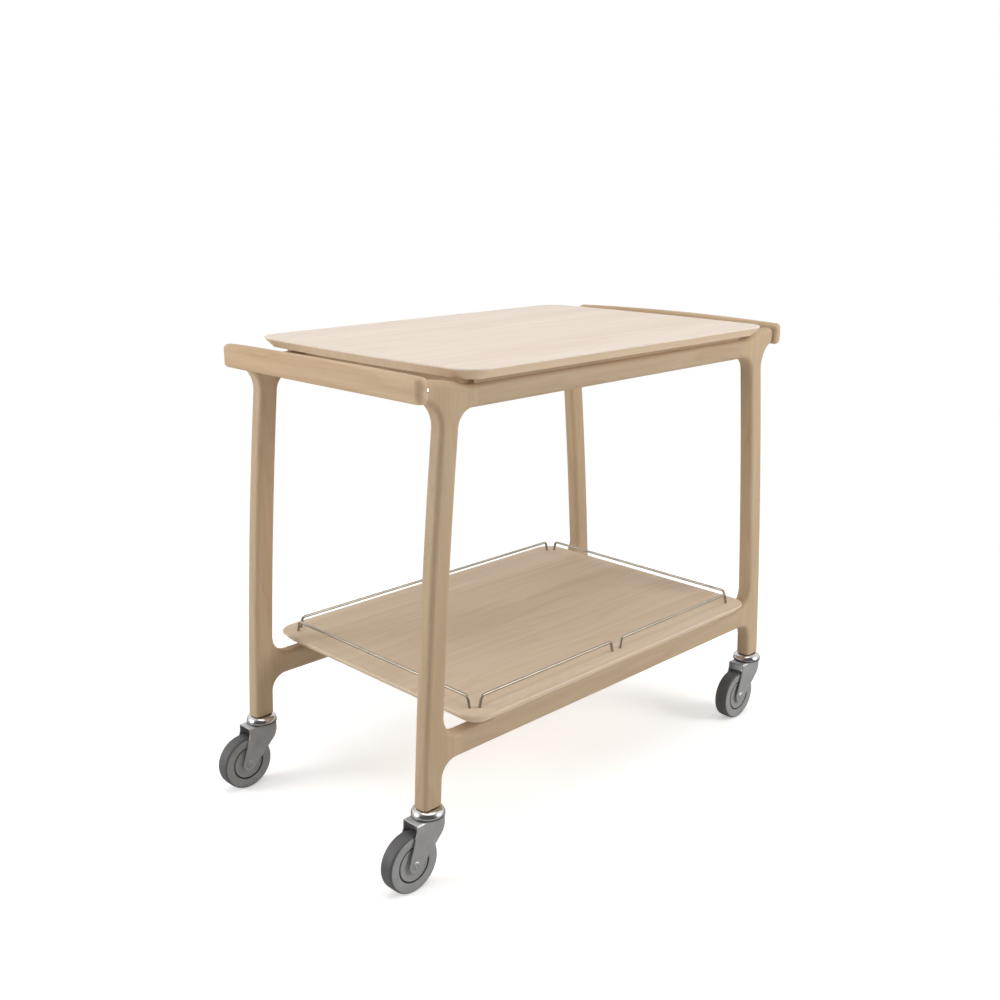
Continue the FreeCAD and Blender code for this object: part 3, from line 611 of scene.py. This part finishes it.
# the whole cart, dressed
TOP_BOARD_INDEX = 1
DOWEL_INDEX = 20
UNDERSIDE_NORMAL = -0.2


def top_board():
    """The upper face is painted paler than its bevel and underside, a painted sheen from the light above;
    the bevel and underside show the wood's own tone.
    """
    board = dressed("top_board", wood("top_board wood with painted sheen", "x", BOARD_WOOD_PAINTED_SHEEN, TOP_BOARD_INDEX))
    below = wood("wood below the top board", "x", UNDERSIDE_WOOD, TOP_BOARD_INDEX)
    # faces that point down lose the painted sheen of the upper face
    repaint(board, below, lambda face: face.normal.z < UNDERSIDE_NORMAL)


def other_planks():
    """Each further plank's node, with the axis that its grain follows and its wood."""
    rows = [("lower_shelf", "x", SHELF_WOOD)]
    for corner in CORNERS:
        rows.append((corner + "_leg", "z", LEG_WOOD))
    for side in ("front", "back"):
        rows.append((side + "_top_rail", "x", RAIL_WOOD))
        rows.append((side + "_stretcher", "x", RAIL_WOOD))
    for side in ("left", "right"):
        rows.append((side + "_handle_bar", "y", BAR_WOOD))
        rows.append((side + "_cross_rail", "y", CROSS_RAIL_WOOD))
    return rows


def dress_wood():
    top_board()
    for index, (node, grain, kind) in enumerate(other_planks(), start=TOP_BOARD_INDEX + 1):
        dressed(node, wood(node + " wood", grain, kind, index))


def dress_caster(corner):
    cap_piece(corner)
    tyre_piece(corner)
    hub_piece(corner)
    dressed(corner + "_kingpin", BOLT_STEEL)
    dressed(corner + "_swivel_balls", BOLT_STEEL)
    fork_piece(corner)
    axle_piece(corner)


def dress_metal():
    for corner in CORNERS:
        dressed(corner + "_spacer_disc", DISC_STEEL)
        dressed(corner + "_gallery_rod", ROD_STEEL_PAINTED_REFLECTION)
        dress_caster(corner)
    for side in ("left", "right"):
        dressed(side + "_gallery_rod", ROD_STEEL_PAINTED_REFLECTION)


def dress_fasteners():
    for node in ("handle_studs", "top_board_screws", "shelf_screws", "stem_inserts"):
        dressed(node, BOLT_STEEL)
    for node in ("rail_dowels", "stretcher_dowels"):
        dressed(node, wood(node + " wood", "x", DOWEL_WOOD, DOWEL_INDEX))


dress_wood()
dress_metal()
dress_fasteners()


# floor, light and camera
WHITE = (1, 1, 1, 1)
FLOOR_REACH = 30
FLOOR_FADE = (0.75, 2.1)
FLOOR_COLOUR = (0.93, 0.93, 0.93, 1)
FLOOR_IN_MIRRORS = (0.5, 0.49, 0.48, 1)
FLOOR_GLOW = 0.4


def floor_material():
    """Pale and shadowed close to the cart, fading to plain white; greyer in the mirrors."""
    material, tree, shader, place = new_material("pale floor")
    path = add(tree, "LightPath").outputs
    seen = path["Is Camera Ray"]
    tint = blend(tree, COLOURS, path["Is Glossy Ray"], FLOOR_COLOUR, FLOOR_IN_MIRRORS)
    feed(tree, shader, Base_Color=tint, Roughness=1.0, Specular_IOR_Level=0.0, Emission_Color=WHITE)
    feed(tree, shader, Emission_Strength=maths(tree, "MULTIPLY", seen, FLOOR_GLOW))
    reach = add(tree, "VectorMath", operation="LENGTH")
    plug(tree, reach.inputs[0], place)
    far = remap(tree, reach.outputs["Value"], FLOOR_FADE)
    join = feed(tree, add(tree, "MixShader"), Fac=maths(tree, "MULTIPLY", far, seen))
    plug(tree, join.inputs[1], shader.outputs["BSDF"])
    plug(tree, join.inputs[2], add(tree, "Emission").outputs["Emission"])
    feed(tree, tree.nodes["Material Output"], Surface=join.outputs["Shader"])
    return material


def stage_floor():
    bm = bmesh.new()
    bmesh.ops.create_grid(bm, x_segments=1, y_segments=1, size=FLOOR_REACH)
    mesh = bpy.data.meshes.new("floor")
    bm.to_mesh(mesh)
    bm.free()
    floor = bpy.data.objects.new("floor", mesh)
    bpy.context.scene.collection.objects.link(floor)
    mesh.materials.append(floor_material())


# how bright the room is, and which side of it is darker, by how much and over what spread
ROOM_LIGHT = 0.48
CAMERA_SIDE = (-0.69, -0.69, 0.2)
CAMERA_SIDE_LIGHT_SHARE = 0.4
CAMERA_SIDE_MIRROR = 0.1
LIGHT_SPREAD = (0.3, 0.9)
MIRROR_SPREAD = (0.0, 0.7)


def light_world():
    """White to the camera; darker on the camera's own side, for light and in the mirrors."""
    world = bpy.data.worlds.new("studio")
    bpy.context.scene.world = world
    world.use_nodes = True
    tree = world.node_tree
    path = add(tree, "LightPath").outputs
    facing = add(tree, "VectorMath", operation="DOT_PRODUCT")
    plug(tree, facing.inputs[0], add(tree, "TexCoord").outputs["Generated"])
    plug(tree, facing.inputs[1], CAMERA_SIDE)
    toward = facing.outputs["Value"]
    diffuse = remap(tree, toward, LIGHT_SPREAD, ROOM_LIGHT, ROOM_LIGHT * CAMERA_SIDE_LIGHT_SHARE)
    mirrors = remap(tree, toward, MIRROR_SPREAD, 1, CAMERA_SIDE_MIRROR)
    mirror = maths(tree, "MAXIMUM", path["Is Glossy Ray"], path["Is Transmission Ray"])
    light = blend(tree, VALUES, mirror, diffuse, mirrors)
    strength = blend(tree, VALUES, path["Is Camera Ray"], light, 1.0)
    feed(tree, tree.nodes["Background"], Color=WHITE, Strength=strength)


# each lamp's name, its place, what it faces, its width and its power
LAMPS = [("overhead", (-0.2, -0.2, 3.2), (0, 0, 0.4), 2.6, 33),
         ("left", (-2.6, 1.5, 1.3), (0, 0, 0.5), 1.6, 42),
         ("front", (1.7, -2.7, 1.5), (0, 0, 0.5), 1.6, 50)]


def soft_lamp(name, place, aim, width, power):
    lamp = bpy.data.lights.new(name, "AREA")
    lamp.shape = "DISK"
    lamp.size = width
    lamp.energy = power
    holder = bpy.data.objects.new(name, lamp)
    bpy.context.scene.collection.objects.link(holder)
    holder.location = place
    holder.rotation_euler = (Vector(aim) - Vector(place)).to_track_quat("-Z", "Y").to_euler()


def camera():
    data = bpy.data.cameras.new("camera")
    data.lens = CAMERA_LENS
    data.sensor_width = CAMERA_SENSOR
    data.sensor_fit = "HORIZONTAL"
    eye = bpy.data.objects.new("camera", data)
    bpy.context.scene.collection.objects.link(eye)
    eye.location = CAMERA_PLACE
    eye.rotation_euler = (math.radians(CAMERA_TILT), 0, math.radians(CAMERA_TURN))
    bpy.context.scene.camera = eye


stage_floor()
light_world()
for lamp_values in LAMPS:
    soft_lamp(*lamp_values)
camera()
bpy.context.scene.view_settings.view_transform = "Standard"
